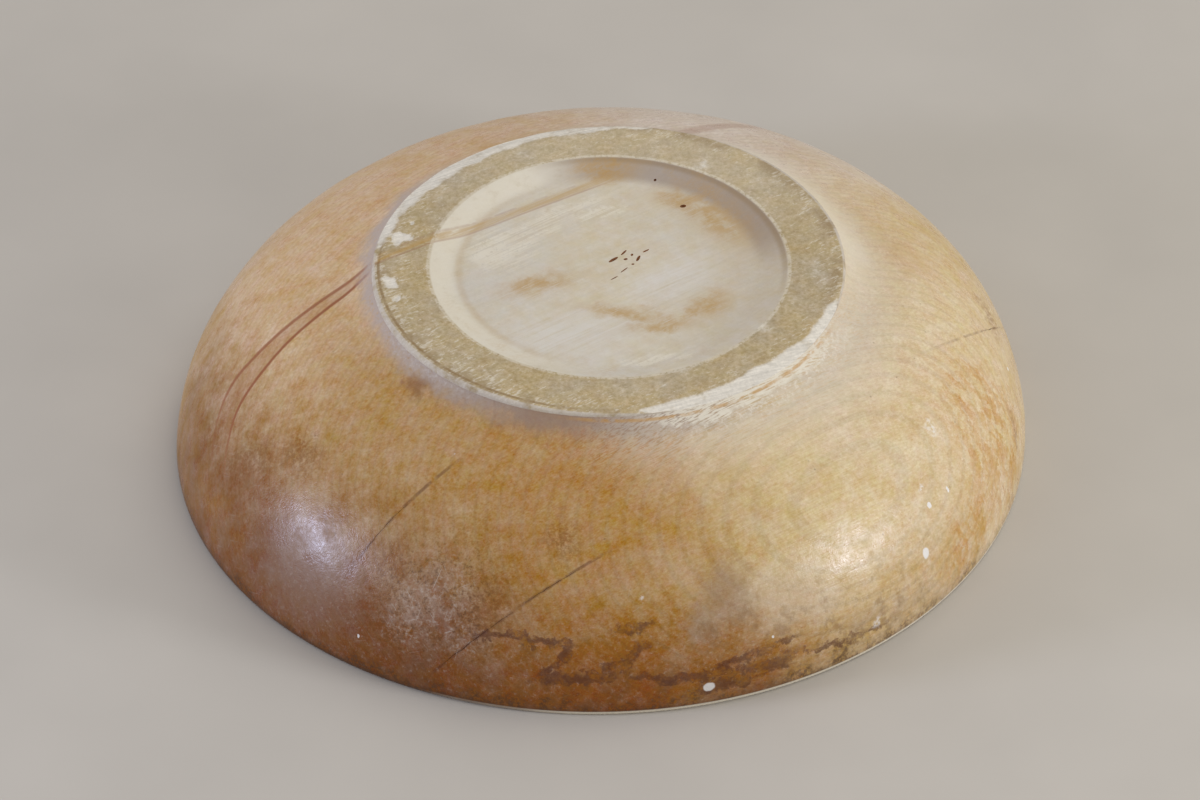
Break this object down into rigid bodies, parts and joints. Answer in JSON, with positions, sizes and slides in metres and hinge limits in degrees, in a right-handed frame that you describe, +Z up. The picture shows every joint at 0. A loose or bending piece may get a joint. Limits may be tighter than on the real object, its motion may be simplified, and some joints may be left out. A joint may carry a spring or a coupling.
{
  "type": "dough bowl",
  "caption": "Round turned wooden dough bowl with a full belly, a plain thick rim and a low flat foot with a shallow dished recess. Stored mouth down.",
  "frame": {"origin": "centre of the rim, on the surface that the bowl lies on mouth down", "axes": "+Z up from the rim to the foot, along the axis that the bowl was turned on; X and Y are level"},
  "size_m": [0.38, 0.38, 0.0965],
  "materials": {
    "bowl_wood": "old oil and wax, satin, worn to bare wood on the foot"
  },
  "bodies": {
    "root": {"bowl": "bowl_wood"}
  },
  "joints": []
}
